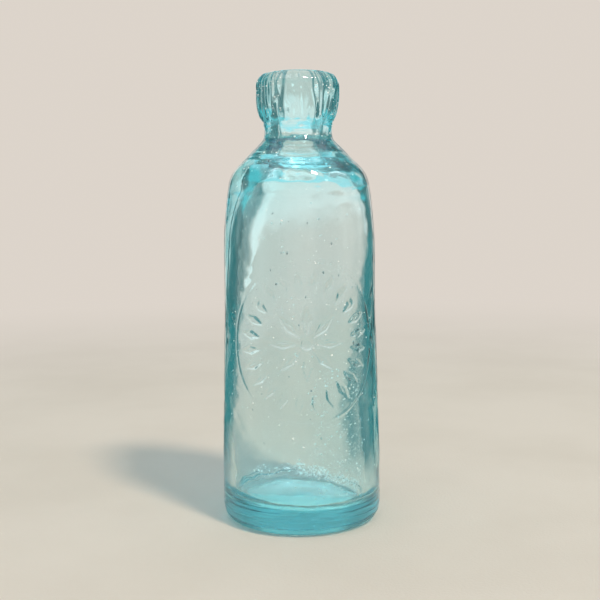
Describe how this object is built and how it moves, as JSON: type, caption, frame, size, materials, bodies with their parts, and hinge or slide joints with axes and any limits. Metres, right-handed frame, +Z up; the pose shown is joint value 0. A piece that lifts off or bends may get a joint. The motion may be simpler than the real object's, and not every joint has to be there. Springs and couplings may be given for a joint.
{
  "type": "blob-lip glass soda bottle",
  "caption": "Thick aqua glass soda bottle with a straight body, round shoulder, short neck and rounded blob lip, open at the mouth.",
  "frame": {"origin": "centre of the ring that the bottle stands on", "axes": "+Z up along the neck's axis, -Y towards the embossed front"},
  "size_m": [0.0606, 0.0606, 0.1688],
  "materials": {
    "aqua_glass": "blown glass, pale aqua where thin and deep aqua where thick, lightly scuffed and seeded"
  },
  "bodies": {
    "root": {"bottle": "aqua_glass"}
  },
  "joints": []
}
